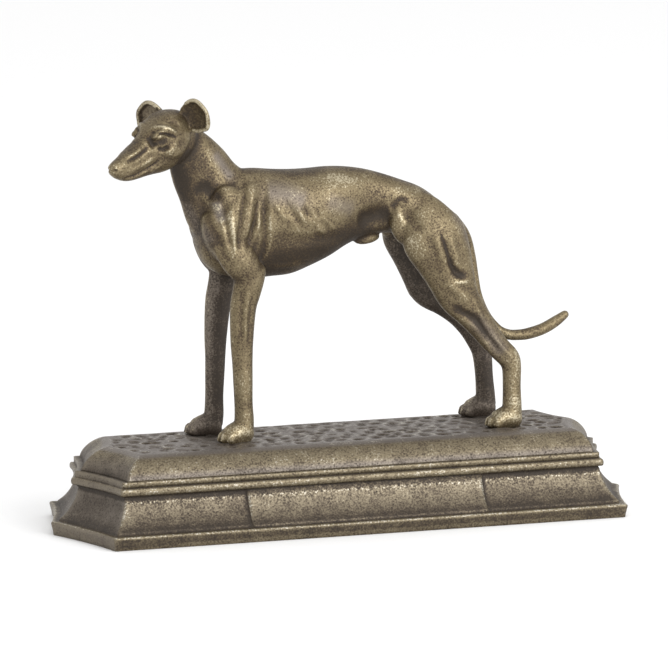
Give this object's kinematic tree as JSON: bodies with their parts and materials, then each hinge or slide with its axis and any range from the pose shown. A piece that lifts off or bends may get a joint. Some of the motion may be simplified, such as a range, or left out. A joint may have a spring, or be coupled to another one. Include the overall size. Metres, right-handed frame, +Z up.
{
  "type": "greyhound statue",
  "caption": "Cast figure of a standing greyhound with its head turned to one side, on a long moulded plinth with a hammered top, a bare front panel and pointed ends with slightly hollow faces.",
  "frame": {"origin": "middle of the plinth's underside", "axes": "+X along the plinth from the dog's head end to its tail end, +Z up, and -Y out of the long side that the head is turned to"},
  "size_m": [0.304, 0.1054, 0.2177],
  "materials": {
    "dog_bronze": "cast metal with a dark brown bronze patina, rubbed olive gold on the high places",
    "plinth_bronze": "cast metal with a dark brown bronze patina, dull gold on the front and grey brown on top"
  },
  "bodies": {
    "root": {"greyhound": "dog_bronze", "plinth": "plinth_bronze"}
  },
  "joints": []
}
